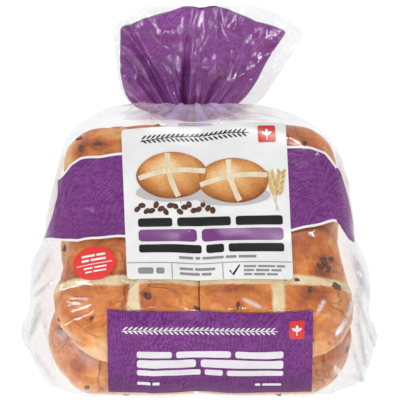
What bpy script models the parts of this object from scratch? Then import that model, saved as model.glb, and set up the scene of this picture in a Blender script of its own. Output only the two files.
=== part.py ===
"""A clear film bag of hot cross buns, lying on its flat base.

The closed end faces -Y, the gathered neck and the flare of spare film face +Y.
The origin is in the middle of the base, on the surface that the bag rests on.
Lengths are in metres.
"""
import math

import bmesh
import bpy
import numpy as np
from mathutils import Matrix, Vector

MM = 0.001

# Driving dimensions: two layers of four buns, wrapped in one bag.
BUN_WIDTH = 83 * MM
BUN_HEIGHT = 42 * MM
PACK_HEIGHT = 2 * BUN_HEIGHT + 1 * MM
ROW_GAP_Y = 2 * MM          # where the front and the back row of buns meet
LAYER_GAP_Z = BUN_HEIGHT    # where the two layers meet
VALLEY_DEPTH = 2.6 * MM     # how far the film dips between two buns
VALLEY_REACH = 11 * MM      # half width of such a dip

# Mesh resolution.
AROUND = 72                 # points round the bag, four to each pleat of the flare
BODY_RINGS = 34
CAP_RINGS = 4
FLARE_RINGS = 13

# The bag's body as stations from the closed front end to the back, in millimetres:
# y at the belly, height of the belly, slope above and below it, reach to the left
# and to the right, top, bottom (below 0 where the base is pressed flat), squareness.
STATIONS = np.array([
    # y    belly  rise  tuck  left  right  top    bottom  square
    (-77.5, 25,  0.47, 0.42,   64,   63,  77.0,    5,     3.6),
    (-72.0, 27,  0.45, 0.34,   78,   84,  82.6,    0,     3.5),
    (-62.0, 30,  0.38, 0.22,   86,   89,  84.2,   -3,     3.4),
    (-46.0, 34,  0.26, 0.10,   91,   91,  85.0,   -4,     3.4),
    (-34.0, 36,  0.14, 0.04,   92,   90,  85.3,   -4,     3.6),
    (-13.0, 38,  0.05, 0.00,   91,   90,  85.5,   -4,     4.0),
    (20.0,  40,  0.00, 0.00,   82,   82,  85.3,   -4,     4.4),
    (50.0,  42, -0.06, 0.00,   76,   76,  84.6,   -4,     4.2),
    (67.0,  44, -0.20, -0.10,  71,   67,  82.0,   -3,     3.3),
    (78.5,  46, -0.44, -0.26,  60,   54,  75.5,    0,     3.0),
    (85.5,  47, -0.60, -0.42,  44,   36,  64.0,    5,     2.6),
    (86.5,  46, -0.56, -0.46,  27,   19,  50.0,    9,     2.2),
])
BELLY_SOFTNESS = 7 * MM     # rounding of the fold at the belly
FRONT_CROWN = 2 * MM        # how far the middle of the closed end bulges

# Pointed film corners that stand out at the two sides, near the closed end.
EAR_REACH = 6 * MM
EAR_Y = -46 * MM
EAR_Z = 35 * MM
EAR_LENGTH = 13 * MM
EAR_THICKNESS = 7 * MM

# The gathered neck and the flare behind it.
NECK_X = -4 * MM
NECK_Y = 80.5 * MM
NECK_Z = 16 * MM
NECK_RADIUS = 7 * MM
NECK_LENGTH = 7 * MM
NECK_TILT = math.radians(18)
FLARE_TILT = math.radians(43)
FLARE_TURN = 15 * MM        # length over which the neck's tilt becomes the flare's
FLARE_LENGTH = 73 * MM
# The flare at its left and at its right side: how far it springs out right behind the neck,
# how far it widens after that, how soon it springs out and how much shorter it is there.
FLARE_LEFT = (31 * MM, 5.5 * MM, 0.12, 0.22)
FLARE_RIGHT = (24 * MM, 30 * MM, 0.09, 0.26)
FLARE_CORNER = 3.4          # how square the flare's two corners are
FLARE_SHAPE = 5             # its width as a share of its thickness, which spaces its pleats evenly
FLARE_DEPTH = 10.5 * MM     # half the thickness of the fan of film
MOUTH_DEPTH = 4.5 * MM      # the same at the mouth, where the film lies nearly closed
PLEATS = AROUND // 4
PLEAT_DEPTH = 2.8 * MM

# The twist tie round the neck.
TIE_GAP = 0.3 * MM
TIE_THICKNESS = 0.9 * MM
TIE_WIDTH = 4 * MM
TIE_SIDES = 36
TAIL_LENGTH = 20 * MM
TAIL_WIDTH = 3.4 * MM
TAIL_THICKNESS = 1.4 * MM
TAIL_TURNS = 1.5
TAIL_STEPS = 24


def smooth(t):
    """0 below 0, 1 above 1, and an even S-curve between."""
    t = np.clip(t, 0.0, 1.0)
    return t * t * (3.0 - 2.0 * t)


def soft_step_length(distance, softness):
    """The length past a fold: 0 before it, distance after it, rounded between."""
    return softness * np.logaddexp(0.0, distance / softness)


def between_stations(t):
    """A row of STATIONS at t from 0 to 1, on a smooth curve through all of them."""
    last = len(STATIONS) - 1
    place = min(max(t, 0.0), 1.0) * last
    i = min(int(place), last - 1)
    u = place - i
    p0 = STATIONS[max(i - 1, 0)]
    p1, p2 = STATIONS[i], STATIONS[i + 1]
    p3 = STATIONS[min(i + 2, last)]
    return 0.5 * (2 * p1 + (p2 - p0) * u + (2 * p0 - 5 * p1 + 4 * p2 - p3) * u ** 2
                  + (3 * p1 - p0 - 3 * p2 + p3) * u ** 3)


def spaced_evenly(points, count):
    """count + 1 points at equal steps along a polyline."""
    steps = np.linalg.norm(np.diff(points, axis=0), axis=1)
    length = np.concatenate([[0.0], np.cumsum(steps)])
    wanted = np.linspace(0.0, length[-1], count + 1)
    return np.stack([np.interp(wanted, length, points[:, k]) for k in range(points.shape[1])], axis=1)


def even_ring(outline, around):
    """A closed outline, given as a function of the angle, with even steps in each half.

    Point 0 is at the right side, the upper half comes first.
    """
    half = around // 2
    fine = np.linspace(0.0, math.pi, 181)
    upper = spaced_evenly(outline(fine), half)[:-1]
    lower = spaced_evenly(outline(fine + math.pi), half)[:-1]
    return np.vstack([upper, lower])


def oval(angle, reach, power):
    """Cosine of the angle on a superellipse of that power, scaled by reach."""
    c = np.cos(angle)
    return reach * np.sign(c) * np.abs(c) ** (2.0 / power)


def body_ring(t, around, inward=1.0):
    """One ring of the bag's body: (around, 3) points. Below 1, inward shrinks it over its own face."""
    y, belly, rise, tuck, left, right, top, bottom, power = between_stations(t)
    y, belly, left, right, top, bottom = (value * MM for value in (y, belly, left, right, top, bottom))

    def outline(angle):
        x = oval(angle, 1.0, power)
        x = x * np.where(x > 0, right, left)
        z = oval(angle - math.pi / 2, 1.0, power)
        z = belly + z * np.where(z > 0, top - belly, belly - bottom)
        return np.stack([x, z], axis=1)

    x, z = even_ring(outline, around).T
    middle = (top + bottom) / 2
    x, z = inward * x, middle + inward * (z - middle)
    above = soft_step_length(z - belly, BELLY_SOFTNESS)
    below = soft_step_length(belly - z, BELLY_SOFTNESS)
    y = y + rise * above + tuck * below - FRONT_CROWN * (1.0 - inward ** 2)
    return pressed_on_buns(np.stack([x, y, z], axis=1), max(left, right))


def pressed_on_buns(points, reach):
    """Dips between the buns, pointed ears at the sides, and the flat base."""
    x, y, z = points.T
    dip_x = np.exp(-(x / VALLEY_REACH) ** 2)
    dip_y = np.exp(-((y - ROW_GAP_Y) / VALLEY_REACH) ** 2)
    dip_z = np.exp(-((z - LAYER_GAP_Z) / VALLEY_REACH) ** 2)
    on_top = smooth((z - 0.8 * PACK_HEIGHT) / (0.2 * PACK_HEIGHT))
    on_side = smooth((np.abs(x) - 0.8 * BUN_WIDTH) / (0.1 * BUN_WIDTH)) * smooth(2.2 - 2.2 * np.abs(y) / BUN_WIDTH)
    on_front = smooth((-y - 0.75 * BUN_WIDTH) / (0.1 * BUN_WIDTH))
    z_new = z - VALLEY_DEPTH * on_top * np.maximum(dip_x, dip_y)
    x_new = x - np.sign(x) * VALLEY_DEPTH * on_side * np.maximum(dip_y, 0.7 * dip_z)
    y_new = y + 0.4 * VALLEY_DEPTH * on_front * dip_x
    ear = EAR_REACH * np.exp(-((y - EAR_Y) / EAR_LENGTH) ** 2 - np.abs(z - EAR_Z) / EAR_THICKNESS)
    x_new = x_new + np.sign(x) * ear * smooth((np.abs(x) - 0.8 * reach) / (0.1 * reach))
    return np.stack([x_new, y_new, np.maximum(z_new, 0.0)], axis=1)


def flare_path(distance):
    """The middle line of neck and flare: (y, z, tilt) at a distance behind the body."""
    steps = 40
    y, z, tilt = NECK_Y, NECK_Z, NECK_TILT
    for i in range(steps):
        here = distance * (i + 0.5) / steps
        tilt = NECK_TILT + (FLARE_TILT - NECK_TILT) * smooth(here / FLARE_TURN)
        y += math.cos(tilt) * distance / steps
        z += math.sin(tilt) * distance / steps
    return y, z, tilt


def flare_ring(f, around):
    """One ring of the flare at f from 0, the end of the neck, to 1, its mouth."""
    depth = NECK_RADIUS + (FLARE_DEPTH - NECK_RADIUS) * smooth(f / 0.3)
    depth = depth - (FLARE_DEPTH - MOUTH_DEPTH) * smooth((f - 0.35) / 0.65)
    circle = even_ring(lambda a: np.stack([FLARE_SHAPE * np.cos(a), np.sin(a)], axis=1), around)
    wave = np.cos(2 * math.pi * PLEATS * np.arange(around) / around)
    points = []
    for (c, thick), crest in zip(circle / (FLARE_SHAPE, 1), wave):
        spring, widen, soon, shorter = FLARE_LEFT if c < 0 else FLARE_RIGHT
        reach = NECK_RADIUS + spring * (1.0 - math.exp(-(f / soon) ** 1.2)) + widen * f
        pleat = PLEAT_DEPTH * smooth(f / 0.25) * (1.0 - 0.35 * f)
        thick = thick * (depth + pleat * crest)
        length = (FLARE_LENGTH - NECK_LENGTH) * f * (1.0 - shorter * abs(c) ** FLARE_CORNER)
        y, z, tilt = flare_path(NECK_LENGTH + length)
        points.append((NECK_X + reach * c, y - thick * math.sin(tilt), z + thick * math.cos(tilt)))
    return np.array(points)


def neck_ring(distance, around):
    """One round ring of the neck."""
    y, z, tilt = flare_path(distance)
    ring = even_ring(lambda a: NECK_RADIUS * np.stack([np.cos(a), np.sin(a)], axis=1), around)
    across, thick = ring.T
    return np.stack([NECK_X + across, y - thick * math.sin(tilt), z + thick * math.cos(tilt)], axis=1)


def bag_rings():
    """All rings from the closed front to the mouth of the flare, with the front's middle point."""
    middle = body_ring(0.0, AROUND, 0.0)[0]
    rings = [body_ring(0.0, AROUND, k / CAP_RINGS) for k in range(1, CAP_RINGS)]
    rings += [body_ring(k / (BODY_RINGS - 1), AROUND) for k in range(BODY_RINGS)]
    last, neck = rings[-1], neck_ring(0.0, AROUND)
    rings += [last + (neck - last) * u for u in (0.35, 0.7)]
    rings += [neck_ring(NECK_LENGTH * u, AROUND) for u in (0.0, 0.5)]
    rings += [flare_ring((k / (FLARE_RINGS - 1)) ** 1.15, AROUND) for k in range(FLARE_RINGS)]
    return middle, rings


def new_object(name, mesh, material):
    obj = bpy.data.objects.new(name, mesh)
    mesh.materials.append(material)
    bpy.context.scene.collection.objects.link(obj)
    return obj


def plain_material(name, colour, roughness, alpha=1.0):
    material = bpy.data.materials.new(name)
    material.use_nodes = True
    shader = material.node_tree.nodes["Principled BSDF"]
    shader.inputs["Base Color"].default_value = (*colour, 1.0)
    shader.inputs["Roughness"].default_value = roughness
    shader.inputs["Metallic"].default_value = 0.0
    shader.inputs["Alpha"].default_value = alpha
    return material


def make_bag():
    """The filled bag: one closed skin from the front cap to the pleated mouth."""
    middle, rings = bag_rings()
    mesh = bpy.data.meshes.new("bag")
    bm = bmesh.new()
    tip = bm.verts.new(middle)
    loops = [[bm.verts.new(p) for p in ring] for ring in rings]
    for j in range(AROUND):
        k = (j + 1) % AROUND
        bm.faces.new((tip, loops[0][k], loops[0][j]))
        for near, far in zip(loops, loops[1:]):
            bm.faces.new((near[j], near[k], far[k], far[j]))
    # The mouth is closed by a ladder of faces between its upper and its lower edge.
    mouth, half = loops[-1], AROUND // 2
    for j in range(half):
        upper = mouth[j], mouth[j + 1]
        lower = mouth[(AROUND - j - 1) % AROUND], mouth[(AROUND - j) % AROUND]
        corners = list(dict.fromkeys((*upper, *lower)))
        bm.faces.new(corners)
    bmesh.ops.recalc_face_normals(bm, faces=bm.faces)
    bm.to_mesh(mesh)
    bm.free()
    mesh.shade_smooth()
    mesh.set_sharp_from_angle(angle=math.radians(50))
    return new_object("bag", mesh, plain_material("printed_film", (0.62, 0.42, 0.50), 0.2))


def make_tail():
    """The tie's two ends twisted together: a guide that the tie is joined to."""
    mesh = bpy.data.meshes.new("tie_tail")
    bm = bmesh.new()
    loops = []
    for i in range(TAIL_STEPS + 1):
        u = i / TAIL_STEPS
        turn = Matrix.Rotation(2 * math.pi * TAIL_TURNS * u, 3, "X")
        loop = []
        for a, b in ((-1, -1), (1, -1), (1, 1), (-1, 1)):
            corner = turn @ Vector((0, a * TAIL_WIDTH / 2, b * TAIL_THICKNESS / 2))
            loop.append(bm.verts.new(Vector((TAIL_LENGTH * u, 0, 0)) + corner))
        loops.append(loop)
    for near, far in zip(loops, loops[1:]):
        for j in range(4):
            k = (j + 1) % 4
            bm.faces.new((near[j], near[k], far[k], far[j]))
    bm.faces.new(loops[0])
    bm.faces.new(reversed(loops[-1]))
    bmesh.ops.recalc_face_normals(bm, faces=bm.faces)
    bm.to_mesh(mesh)
    bm.free()
    tail = bpy.data.objects.new("tie_tail", mesh)
    bpy.context.scene.collection.objects.link(tail)
    tail.hide_render = True
    tail.display_type = "WIRE"
    y, z, tilt = flare_path(NECK_LENGTH * 0.5)
    start = NECK_RADIUS + TIE_GAP + TIE_THICKNESS / 2
    tail.location = (NECK_X + start, y, z)
    tail.rotation_euler = (0, math.radians(22), 0)
    return tail


def make_neck_tie():
    """A flat tie bent round the neck, with its twisted tail."""
    y, z, tilt = flare_path(NECK_LENGTH * 0.5)
    mesh = bpy.data.meshes.new("neck_tie")
    bm = bmesh.new()
    inner = NECK_RADIUS + TIE_GAP
    outer = inner + TIE_THICKNESS
    corners = ((inner, -0.5), (outer, -0.5), (outer, 0.5), (inner, 0.5))
    loops = []
    for i in range(TIE_SIDES):
        angle = 2 * math.pi * i / TIE_SIDES
        loops.append([bm.verts.new((r * math.cos(angle), s * TIE_WIDTH, r * math.sin(angle)))
                      for r, s in corners])
    for i, near in enumerate(loops):
        far = loops[(i + 1) % TIE_SIDES]
        for j in range(4):
            k = (j + 1) % 4
            bm.faces.new((near[j], near[k], far[k], far[j]))
    bmesh.ops.recalc_face_normals(bm, faces=bm.faces)
    bm.to_mesh(mesh)
    bm.free()
    mesh.shade_smooth()
    mesh.set_sharp_from_angle(angle=math.radians(40))
    tie = new_object("neck_tie", mesh, plain_material("tie_plastic", (0.86, 0.85, 0.80), 0.45))
    tie.location = (NECK_X, y, z)
    tie.rotation_euler = (tilt, 0, 0)
    union = tie.modifiers.new("twisted_ends", "BOOLEAN")
    union.operation = "UNION"
    union.solver = "EXACT"
    union.object = make_tail()
    return tie


def main():
    for obj in list(bpy.data.objects):
        bpy.data.objects.remove(obj)
    make_bag()
    make_neck_tie()


main()
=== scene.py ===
"""Looks of a clear, printed film bag of hot cross buns that lies on its flat base.

The bag's closed end faces -Y. Its neck is gathered by a twist tie and ends in a flare of
spare film at +Y. The solid bag of the frame gives way to a thin film with its print, and to
the eight buns inside it. Lengths are in metres.
"""
import math

import bmesh
import bpy
import numpy as np
from mathutils import Matrix, Vector, geometry
from mathutils.bvhtree import BVHTree


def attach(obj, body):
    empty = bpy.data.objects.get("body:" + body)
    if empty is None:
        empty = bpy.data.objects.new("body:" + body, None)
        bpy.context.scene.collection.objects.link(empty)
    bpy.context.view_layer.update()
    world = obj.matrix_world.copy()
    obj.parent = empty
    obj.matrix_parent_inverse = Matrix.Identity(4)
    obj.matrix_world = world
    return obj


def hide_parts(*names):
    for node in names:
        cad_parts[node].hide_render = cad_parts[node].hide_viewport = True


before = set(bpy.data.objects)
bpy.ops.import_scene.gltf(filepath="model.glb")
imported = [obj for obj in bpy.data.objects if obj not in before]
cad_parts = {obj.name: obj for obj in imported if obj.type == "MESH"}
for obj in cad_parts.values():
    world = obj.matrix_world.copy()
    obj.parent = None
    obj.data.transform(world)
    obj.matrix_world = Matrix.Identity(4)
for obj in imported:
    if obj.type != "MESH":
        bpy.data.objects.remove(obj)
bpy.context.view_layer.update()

MM = 0.001
ROOT = "root"

# ---------------------------------------------------------------- the bag's shape

PACK_HEIGHT = 85 * MM
BUN_WIDTH = 83 * MM
BUN_HEIGHT = 42 * MM
ROW_GAP_Y = 2 * MM
VALLEY_DEPTH = 2.6 * MM
VALLEY_REACH = 11 * MM

# Stations of the body from the closed end to the back, in millimetres: y at the belly,
# height of the belly, slope above and below it, reach left and right, top, bottom, squareness.
STATIONS = np.array([
    (-77.5, 25,  0.47, 0.42,   64,   63,  77.0,    5,     3.6),
    (-72.0, 27,  0.45, 0.34,   78,   84,  82.6,    0,     3.5),
    (-62.0, 30,  0.38, 0.22,   86,   89,  84.2,   -3,     3.4),
    (-46.0, 34,  0.26, 0.10,   91,   91,  85.0,   -4,     3.4),
    (-34.0, 36,  0.14, 0.04,   92,   90,  85.3,   -4,     3.6),
    (-13.0, 38,  0.05, 0.00,   91,   90,  85.5,   -4,     4.0),
    (20.0,  40,  0.00, 0.00,   82,   82,  85.3,   -4,     4.4),
    (50.0,  42, -0.06, 0.00,   76,   76,  84.6,   -4,     4.2),
    (67.0,  44, -0.20, -0.10,  71,   67,  82.0,   -3,     3.3),
    (78.5,  46, -0.44, -0.26,  60,   54,  75.5,    0,     3.0),
    (85.5,  47, -0.60, -0.42,  44,   36,  64.0,    5,     2.6),
    (86.5,  46, -0.56, -0.46,  27,   19,  50.0,    9,     2.2),
])
BELLY_SOFTNESS = 7 * MM
FRONT_CROWN = 2 * MM
EAR_REACH = 6 * MM
EAR_Y = -46 * MM
EAR_Z = 35 * MM
EAR_LENGTH = 13 * MM
EAR_THICKNESS = 7 * MM

NECK_X = -4 * MM
NECK_Y = 80.5 * MM
NECK_Z = 16 * MM
NECK_RADIUS = 7 * MM
NECK_LENGTH = 7 * MM
NECK_TILT = math.radians(18)
FLARE_TILT = math.radians(43)
FLARE_TURN = 15 * MM
FLARE_LENGTH = 73 * MM
# The flare at its left and at its right side: how far it springs out right behind the neck,
# how far it widens after that, how soon it springs out and how much shorter it is there.
FLARE_LEFT = (31 * MM, 5.5 * MM, 0.12, 0.22)
FLARE_RIGHT = (24 * MM, 30 * MM, 0.09, 0.26)
FLARE_CORNER = 3.4
FLARE_SHAPE = 5

BODY_AROUND = 360
CAP_RINGS = 20
BODY_RINGS = 156
REAR_RINGS = 16
FLARE_AROUND = 360
FLARE_RINGS = 72


def smooth(t):
    """0 below 0, 1 above 1, and an even S-curve between."""
    t = np.clip(t, 0.0, 1.0)
    return t * t * (3.0 - 2.0 * t)


def soft_step_length(distance, softness):
    """The length past a fold: 0 before it, distance after it, rounded between."""
    return softness * np.logaddexp(0.0, distance / softness)


def between_stations(t):
    """A row of STATIONS at t from 0 to 1, on a smooth curve through all of them."""
    last = len(STATIONS) - 1
    place = min(max(t, 0.0), 1.0) * last
    i = min(int(place), last - 1)
    u = place - i
    p0 = STATIONS[max(i - 1, 0)]
    p1, p2 = STATIONS[i], STATIONS[i + 1]
    p3 = STATIONS[min(i + 2, last)]
    return 0.5 * (2 * p1 + (p2 - p0) * u + (2 * p0 - 5 * p1 + 4 * p2 - p3) * u ** 2
                  + (3 * p1 - p0 - 3 * p2 + p3) * u ** 3)


def spaced_evenly(points, count):
    """count + 1 points at equal steps along a polyline."""
    steps = np.linalg.norm(np.diff(points, axis=0), axis=1)
    length = np.concatenate([[0.0], np.cumsum(steps)])
    wanted = np.linspace(0.0, length[-1], count + 1)
    return np.stack([np.interp(wanted, length, points[:, k]) for k in range(points.shape[1])], axis=1)


def even_ring(outline, around):
    """A closed outline with even steps in each half: right side, top, left side, bottom."""
    half = around // 2
    fine = np.linspace(0.0, math.pi, 721)
    upper = spaced_evenly(outline(fine), half)[:-1]
    lower = spaced_evenly(outline(fine + math.pi), half)[:-1]
    return np.vstack([upper, lower])


def oval(angle, power):
    """Cosine of the angle on a superellipse of that power."""
    c = np.cos(angle)
    return np.sign(c) * np.abs(c) ** (2.0 / power)


def body_ring(t, around, inward=1.0):
    """One ring of the bag's body. Below 1, inward shrinks it over its own face."""
    y, belly, rise, tuck, left, right, top, bottom, power = between_stations(t)
    y, belly, left, right, top, bottom = (value * MM for value in (y, belly, left, right, top, bottom))

    def outline(angle):
        x = oval(angle, power)
        z = oval(angle - math.pi / 2, power)
        z = belly + z * np.where(z > 0, top - belly, belly - bottom)
        return np.stack([x * np.where(x > 0, right, left), z], axis=1)

    x, z = even_ring(outline, around).T
    middle = (top + bottom) / 2
    x, z = inward * x, middle + inward * (z - middle)
    above = soft_step_length(z - belly, BELLY_SOFTNESS)
    below = soft_step_length(belly - z, BELLY_SOFTNESS)
    y = y + rise * above + tuck * below - FRONT_CROWN * (1.0 - inward ** 2)
    return pressed_on_buns(np.stack([x, y, z], axis=1), max(left, right))


def pressed_on_buns(points, reach):
    """Dips between the buns, pointed ears at the sides, and the flat base."""
    x, y, z = points.T
    dip_x = np.exp(-(x / VALLEY_REACH) ** 2)
    dip_y = np.exp(-((y - ROW_GAP_Y) / VALLEY_REACH) ** 2)
    dip_z = np.exp(-((z - BUN_HEIGHT) / VALLEY_REACH) ** 2)
    on_top = smooth((z - 0.8 * PACK_HEIGHT) / (0.2 * PACK_HEIGHT))
    on_side = smooth((np.abs(x) - 0.8 * BUN_WIDTH) / (0.1 * BUN_WIDTH)) * smooth(2.2 - 2.2 * np.abs(y) / BUN_WIDTH)
    on_front = smooth((-y - 0.75 * BUN_WIDTH) / (0.1 * BUN_WIDTH))
    z_new = z - VALLEY_DEPTH * on_top * np.maximum(dip_x, dip_y)
    x_new = x - np.sign(x) * VALLEY_DEPTH * on_side * np.maximum(dip_y, 0.7 * dip_z)
    y_new = y + 0.4 * VALLEY_DEPTH * on_front * dip_x
    ear = EAR_REACH * np.exp(-((y - EAR_Y) / EAR_LENGTH) ** 2 - np.abs(z - EAR_Z) / EAR_THICKNESS)
    x_new = x_new + np.sign(x) * ear * smooth((np.abs(x) - 0.8 * reach) / (0.1 * reach))
    return np.stack([x_new, y_new, np.maximum(z_new, 0.0)], axis=1)


def flare_path(distance):
    """The middle line of neck and flare: y, z and tilt at distances behind the body."""
    steps = np.linspace(0.0, FLARE_LENGTH, 401)
    tilt = NECK_TILT + (FLARE_TILT - NECK_TILT) * smooth(steps / FLARE_TURN)
    step = steps[1] - steps[0]
    y = NECK_Y + np.concatenate([[0.0], np.cumsum(np.cos(tilt[:-1]) * step)])
    z = NECK_Z + np.concatenate([[0.0], np.cumsum(np.sin(tilt[:-1]) * step)])
    return np.interp(distance, steps, y), np.interp(distance, steps, z), np.interp(distance, steps, tilt)


# ---------------------------------------------------------------- creases and noise

def value_noise(points, scale, seed):
    """Smooth noise from 0 to 1 at points, with cells of the given size or sizes."""
    lattice = np.random.default_rng(seed).random((32, 32, 32))
    place = points / np.asarray(scale) + 100.0
    cell = np.floor(place).astype(int)
    u = place - cell
    u = u * u * (3 - 2 * u)
    total = 0.0
    for corner in np.ndindex(2, 2, 2):
        weight = 1.0
        for axis in range(3):
            weight = weight * (u[..., axis] if corner[axis] else 1 - u[..., axis])
        i, j, k = ((cell[..., axis] + corner[axis]) % 32 for axis in range(3))
        total = total + weight * lattice[i, j, k]
    return total


def creases(points, scale, seed):
    """Sharp ridges with soft hollows between them, from 0 to 1."""
    return 1.0 - np.abs(2.0 * value_noise(points, scale, seed) - 1.0) ** 0.8


def saw(x):
    """A triangle wave from -1 to 1, with sharp ridges and valleys."""
    return 2.0 * np.abs(2.0 * (x - np.floor(x + 0.5))) - 1.0


def grid_normals(grid, outward_from):
    """Unit normals of a grid of rings, pointing away from the given point."""
    along = np.gradient(grid, axis=0)
    round_it = np.roll(grid, -1, axis=1) - np.roll(grid, 1, axis=1)
    normals = np.cross(along, round_it)
    normals /= np.maximum(np.linalg.norm(normals, axis=2, keepdims=True), 1e-12)
    away = np.sum(normals * (grid - np.asarray(outward_from)), axis=2)
    return normals if np.median(away) > 0 else -normals


# ---------------------------------------------------------------- meshes

def new_piece(name, mesh):
    """Links a finished mesh as a piece of the bag that rides on its only body."""
    piece = bpy.data.objects.new(name, mesh)
    bpy.context.scene.collection.objects.link(piece)
    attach(piece, ROOT)
    return piece


def mesh_from(name, points, faces, material):
    mesh = bpy.data.meshes.new(name)
    mesh.from_pydata([tuple(p) for p in points], [], faces)
    mesh.materials.append(material)
    mesh.shade_smooth()
    return mesh


def ring_faces(rings, around, tip=False):
    """Quads between rings of points; with tip, a fan from the last point to the first ring."""
    faces = []
    for i in range(rings - 1):
        a, b = i * around, (i + 1) * around
        for j in range(around):
            k = (j + 1) % around
            faces.append((a + j, a + k, b + k, b + j))
    if tip:
        faces += [(rings * around, (j + 1) % around, j) for j in range(around)]
    return faces


def add_field(mesh, name, values):
    """Stores one number for each point, for the material to read."""
    field = mesh.attributes.new(name, "FLOAT", "POINT")
    field.data.foreach_set("value", np.asarray(values, dtype=np.float32).ravel())


# ---------------------------------------------------------------- materials

class Nodes:
    """Short calls to build a material's nodes."""

    def __init__(self, name):
        self.material = bpy.data.materials.new(name)
        self.material.use_nodes = True
        self.tree = self.material.node_tree
        self.tree.nodes.clear()
        self.output = self.tree.nodes.new("ShaderNodeOutputMaterial")

    def add(self, kind, **inputs):
        node = self.tree.nodes.new("ShaderNode" + kind)
        for name, value in inputs.items():
            self.put(node.inputs[name.replace("_", " ")], value)
        return node

    def put(self, socket, value):
        if isinstance(value, bpy.types.NodeSocket):
            self.tree.links.new(value, socket)
        elif isinstance(value, tuple) and len(value) == 3 and socket.type == "RGBA":
            socket.default_value = (*value, 1.0)
        else:
            socket.default_value = value

    def math(self, operation, a, b=0.0, c=0.0, clamp=False):
        node = self.tree.nodes.new("ShaderNodeMath")
        node.operation, node.use_clamp = operation, clamp
        for socket, value in zip(node.inputs, (a, b, c)):
            self.put(socket, value)
        return node.outputs[0]

    def field(self, name):
        node = self.tree.nodes.new("ShaderNodeAttribute")
        node.attribute_name = name
        return node.outputs["Fac"]

    def place(self):
        return self.add("TexCoord").outputs["Object"]

    def noise(self, scale, detail=4.0, roughness=0.55, distortion=0.0, vector=None):
        node = self.add("TexNoise", Scale=scale, Detail=detail, Roughness=roughness, Distortion=distortion,
                        Vector=vector or self.place())
        return node.outputs["Fac"]

    def stretch(self, scale, turn=(0.0, 0.0, 0.0)):
        return self.add("Mapping", Vector=self.place(), Scale=scale, Rotation=turn).outputs["Vector"]

    def between(self, value, low, high, to_low=0.0, to_high=1.0, smooth_steps=True):
        node = self.add("MapRange", Value=value)
        node.interpolation_type = "SMOOTHSTEP" if smooth_steps else "LINEAR"
        for name, number in (("From Min", low), ("From Max", high), ("To Min", to_low), ("To Max", to_high)):
            node.inputs[name].default_value = number
        return node.outputs[0]

    def mix_colour(self, share, a, b, blend="MIX"):
        node = self.tree.nodes.new("ShaderNodeMix")
        node.data_type, node.blend_type = "RGBA", blend
        self.put(node.inputs[0], share)
        self.put(node.inputs[6], a)
        self.put(node.inputs[7], b)
        return node.outputs[2]

    def mix_shader(self, share, a, b):
        node = self.tree.nodes.new("ShaderNodeMixShader")
        self.put(node.inputs[0], share)
        self.tree.links.new(a, node.inputs[1])
        self.tree.links.new(b, node.inputs[2])
        return node.outputs[0]

    def bump(self, height, strength, distance, normal=None):
        node = self.add("Bump", Height=height, Strength=strength, Distance=distance)
        if normal is not None:
            self.put(node.inputs["Normal"], normal)
        return node.outputs["Normal"]

    def finish(self, shader):
        self.tree.links.new(shader, self.output.inputs["Surface"])
        return self.material


PURPLE_LIGHT = (0.242, 0.061, 0.278)
PURPLE_DARK = (0.138, 0.026, 0.163)
LABEL_WHITE = (0.87, 0.87, 0.87)


def crinkle(nodes, strength=0.5):
    """Fine film crinkles: the normal for everything that is printed on or made of film."""
    ridges = nodes.add("TexNoise", Scale=34.0, Detail=2.5, Roughness=0.5, Distortion=0.8,
                       Vector=nodes.stretch((0.7, 1.0, 1.0), (0.0, 0.0, 0.5)))
    ridges.noise_type = "RIDGED_MULTIFRACTAL"
    fine = nodes.noise(260.0, 3.0, 0.6, 0.4)
    height = nodes.math("ADD", nodes.math("MULTIPLY", fine, 0.12), nodes.math("MULTIPLY", ridges.outputs["Fac"], 0.5))
    return nodes.bump(height, strength, 0.8 * MM)


def purple_ink(nodes, normal, lift=1.0, gloss=0.42, shade=0.75, painted_light_share=0.0):
    """Purple print with faint brush strokes in two tones. lift scales both tones, and above 1 it is painted light. It
    is darker low down with painted shade, as much as shade says, and pale with painted light where the last argument is
    1.
    """
    strokes = nodes.noise(130.0, 5.0, 0.65, 1.8, nodes.stretch((1.0, 2.6, 1.6), (0.2, 0.1, 0.6)))
    curls = nodes.noise(190.0, 3.0, 0.6, 3.0)
    combed = nodes.add("TexWave", Scale=210.0, Distortion=40.0, Detail=1.0, Detail_Scale=0.22, Detail_Roughness=0.5,
                       Vector=nodes.stretch((1.0, 0.8, 0.9), (0.3, 0.0, 0.7))).outputs["Fac"]
    tone = nodes.math("ADD", nodes.math("MULTIPLY", strokes, 0.6), nodes.math("MULTIPLY", curls, 0.4))
    tone = nodes.math("MULTIPLY_ADD", nodes.math("SUBTRACT", combed, 0.5), 0.10, tone)
    # lift above 1 makes this purple lighter: painted light
    dark, light = (tuple(lift * part for part in colour) for colour in (PURPLE_DARK, PURPLE_LIGHT))
    colour = nodes.mix_colour(nodes.between(tone, 0.40, 0.60), dark, light)
    colour = nodes.mix_colour(nodes.between(nodes.noise(17.0, 2.0), 0.40, 0.62, 0.0, 0.30), colour, dark)
    height = nodes.add("SeparateXYZ", Vector=nodes.place()).outputs["Z"]
    # painted shade: the purple darkens towards the bottom of the pack
    colour = nodes.mix_colour(nodes.between(height, 4 * MM, 56 * MM, shade, 0.0), colour, (0.05, 0.012, 0.055))
    # painted light: the purple pales where the last argument is 1
    colour = nodes.mix_colour(painted_light_share, colour, (0.58, 0.23, 0.70))
    pressed = nodes.bump(tone, 0.25, 0.5 * MM, normal)
    return nodes.add("BsdfPrincipled", Base_Color=colour, Roughness=0.08, Specular_IOR_Level=gloss,
                     Normal=pressed).outputs[0]


def facing(nodes, normal):
    """How much a thin film mirrors: little head on, nearly all at a grazing angle."""
    graze = nodes.add("LayerWeight", Blend=0.5, Normal=normal).outputs["Facing"]
    return nodes.math("MULTIPLY_ADD", nodes.math("POWER", graze, 3.5), 0.70, 0.04)


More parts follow.
